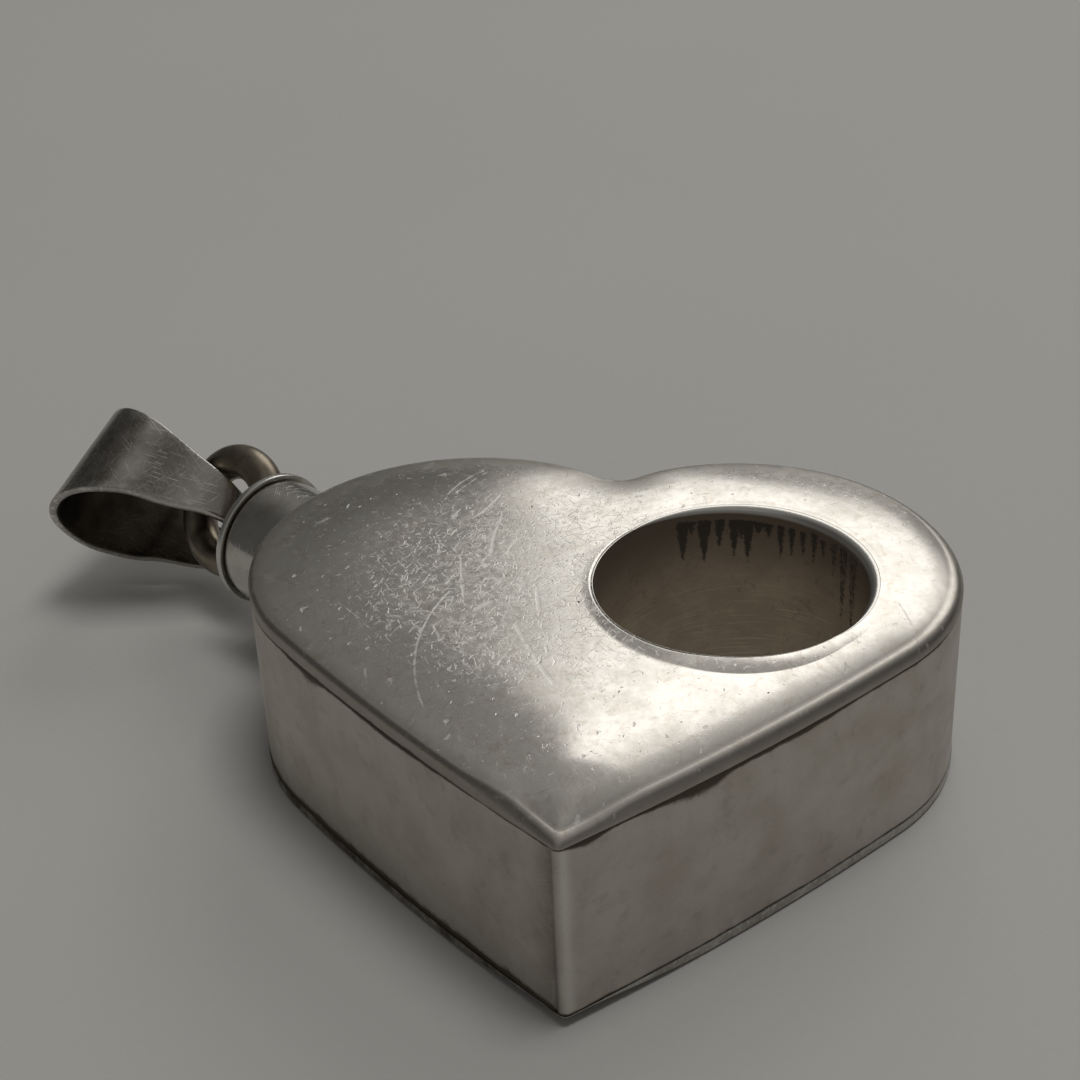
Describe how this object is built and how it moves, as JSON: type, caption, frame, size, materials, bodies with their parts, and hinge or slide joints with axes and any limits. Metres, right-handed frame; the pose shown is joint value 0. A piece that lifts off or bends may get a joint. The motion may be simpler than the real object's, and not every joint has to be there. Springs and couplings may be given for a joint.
{
  "type": "heart flask pendant",
  "caption": "Heart-shaped hollow silver flask pendant with a round through hole, a screw stopper on a short neck, a soldered ring and a folded tapered bail.",
  "frame": {"origin": "on the back plate's outer face, under the centre of the lobe that carries the neck", "axes": "+Y along the neck towards the bail (up when the pendant hangs), +Z out of the front face, X across"},
  "size_m": [0.0268, 0.0437, 0.0096],
  "materials": {
    "worn_front": "worn sterling silver, fine scratches",
    "worn_back": "worn sterling silver, fine scratches",
    "satin_band": "worn sterling silver, satin",
    "tarnished_liner": "tarnished silver",
    "polished_neck": "polished silver",
    "bush_silver": "cut silver thread",
    "disc_silver": "worn silver",
    "plug_silver": "cut silver thread",
    "tarnished_ring": "dark tarnished silver",
    "brushed_bail": "brushed silver, bright worn edges",
    "dark_washer": "dark matt gasket"
  },
  "bodies": {
    "flask": {"front_plate": "worn_front", "back_plate": "worn_back", "side_band": "satin_band", "hole_liner": "tarnished_liner", "neck_tube": "polished_neck", "neck_bush": "bush_silver"},
    "seal": {"seal_washer": "dark_washer"},
    "stopper": {"stopper_disc": "disc_silver", "stopper_plug": "plug_silver", "ring_loop": "tarnished_ring"},
    "bail": {"bail": "brushed_bail"}
  },
  "joints": [
    {"name": "stopper_lift", "type": "slide", "parent": "flask", "child": "seal", "axis": [0, 1, 0], "range_m": [0, 0.0032]},
    {"name": "stopper_turn", "type": "hinge", "parent": "seal", "child": "stopper", "pos_m": [0, 0.0126, 0.00475], "axis": [0, 1, 0], "range_deg": [0, 1445]},
    {"name": "bail_swing", "type": "hinge", "parent": "stopper", "child": "bail", "pos_m": [0.00015, 0.01622, 0.00499], "axis": [-0.8545, 0, 0.5195], "range_deg": [-95, 70]}
  ],
  "couplings": [
    {"joint": "stopper_turn", "follows": "stopper_lift", "rad_per_m": 7854}
  ]
}
